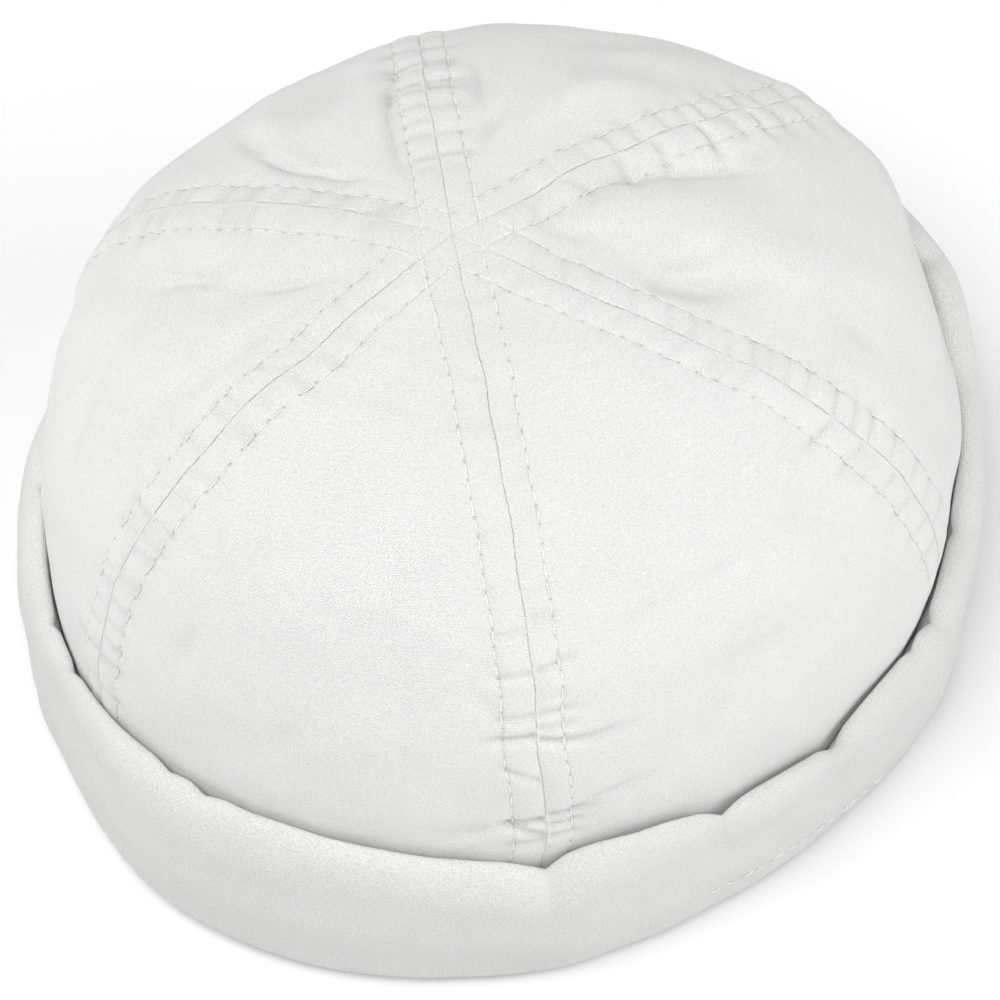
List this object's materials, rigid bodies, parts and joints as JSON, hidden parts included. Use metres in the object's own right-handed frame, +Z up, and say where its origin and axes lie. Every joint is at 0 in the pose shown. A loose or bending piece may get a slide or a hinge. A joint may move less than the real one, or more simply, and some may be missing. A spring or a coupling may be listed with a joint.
{
  "type": "docker cap",
  "caption": "Brimless white cotton docker cap: a rounded crown of sewn panels with topstitched seams inside a turned-up double cuff, open below for the head.",
  "frame": {"origin": "under the middle of the whole cap, on the surface that it rests on", "axes": "+Z up through the crown, -Y to the front, +X to the right as the cap is seen from the front"},
  "size_m": [0.1916, 0.2228, 0.1181],
  "materials": {
    "crown_cloth": "white plain-weave cotton, washed, matt",
    "cuff_cloth": "white plain-weave cotton, doubled and turned up, matt"
  },
  "bodies": {
    "root": {"panel_right": "crown_cloth", "panel_back_right": "crown_cloth", "panel_back_left": "crown_cloth", "panel_left": "crown_cloth", "panel_front_left": "crown_cloth", "panel_front_right": "crown_cloth", "cuff": "cuff_cloth"}
  },
  "joints": []
}
